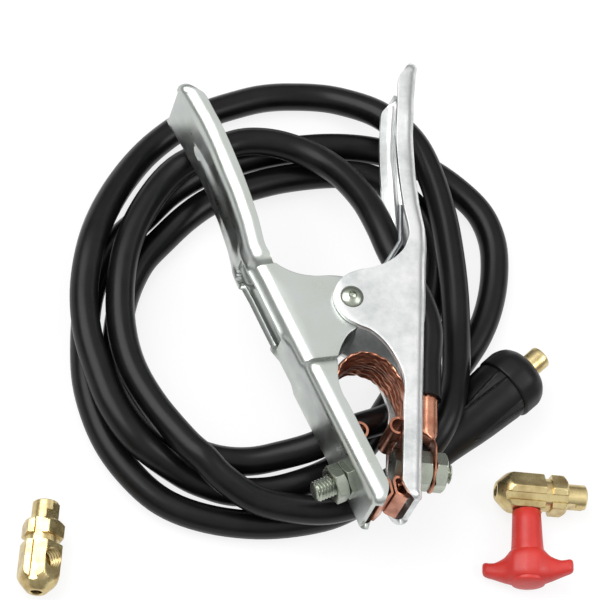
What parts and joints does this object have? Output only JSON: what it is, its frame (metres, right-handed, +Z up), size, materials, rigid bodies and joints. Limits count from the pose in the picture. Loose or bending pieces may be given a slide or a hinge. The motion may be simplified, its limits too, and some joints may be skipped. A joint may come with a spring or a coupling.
{
  "type": "welding earth clamp with cable",
  "caption": "Welding earth clamp with sprung pressed steel jaws, a coiled black cable with a bayonet cable plug, and loose brass adapters, one with a red wing knob.",
  "frame": {"origin": "on the floor under the middle of the box around the clamp and both adapters, the free cable and its plug left out", "axes": "+Z up from the floor; +Y along the closed clamp from its jaws to its handles; +X to the side of the arm that carries the cable lug"},
  "size_m": [0.221, 0.2211, 0.0532],
  "materials": {
    "zinc_plate": "satin zinc plate",
    "spring_steel": "satin",
    "copper": null,
    "braid_copper": null,
    "cable_cover": "semi-matt black",
    "boot_rubber": "matt black",
    "brass_metal": "turned brass",
    "knob_plastic": "moulded red"
  },
  "bodies": {
    "clamp": {"right_arm": "zinc_plate", "pivot_rivet": "zinc_plate", "rivet_washer": "zinc_plate", "pivot_bush": "zinc_plate", "torsion_spring": "spring_steel", "right_shoe": "copper", "right_stud": "zinc_plate", "right_nuts": "zinc_plate", "right_washer": "zinc_plate", "braid": "braid_copper", "cable_lug": "copper", "lug_strands": "braid_copper", "cable_tail": "cable_cover", "cable_coil": "cable_cover", "plug_boot": "boot_rubber", "plug_collar": "boot_rubber", "plug_pin": "brass_metal", "plug_sleeve": "copper", "clamp_screw": "zinc_plate", "adapter_plain": "brass_metal", "adapter_clamp": "brass_metal"},
    "left_jaw": {"left_arm": "zinc_plate", "left_shoe": "copper", "left_stud": "zinc_plate", "left_nuts": "zinc_plate"},
    "knob": {"knob_screw": "zinc_plate", "wing_knob": "knob_plastic"}
  },
  "joints": [
    {"name": "jaw_hinge", "type": "hinge", "parent": "clamp", "child": "left_jaw", "pos_m": [0.0238, 0.0066, 0.0368], "axis": [0, 0, -1], "range_deg": [0, 28], "stiffness_Nm_per_rad": 5, "springref_deg": -25.78, "deforming": ["torsion_spring", "braid"]},
    {"name": "knob_turn", "type": "hinge", "parent": "clamp", "child": "knob", "pos_m": [0.0871, -0.06336, 0.008], "axis": [-0.2213, -0.9752, 0], "range_deg": [-180, 180]}
  ]
}
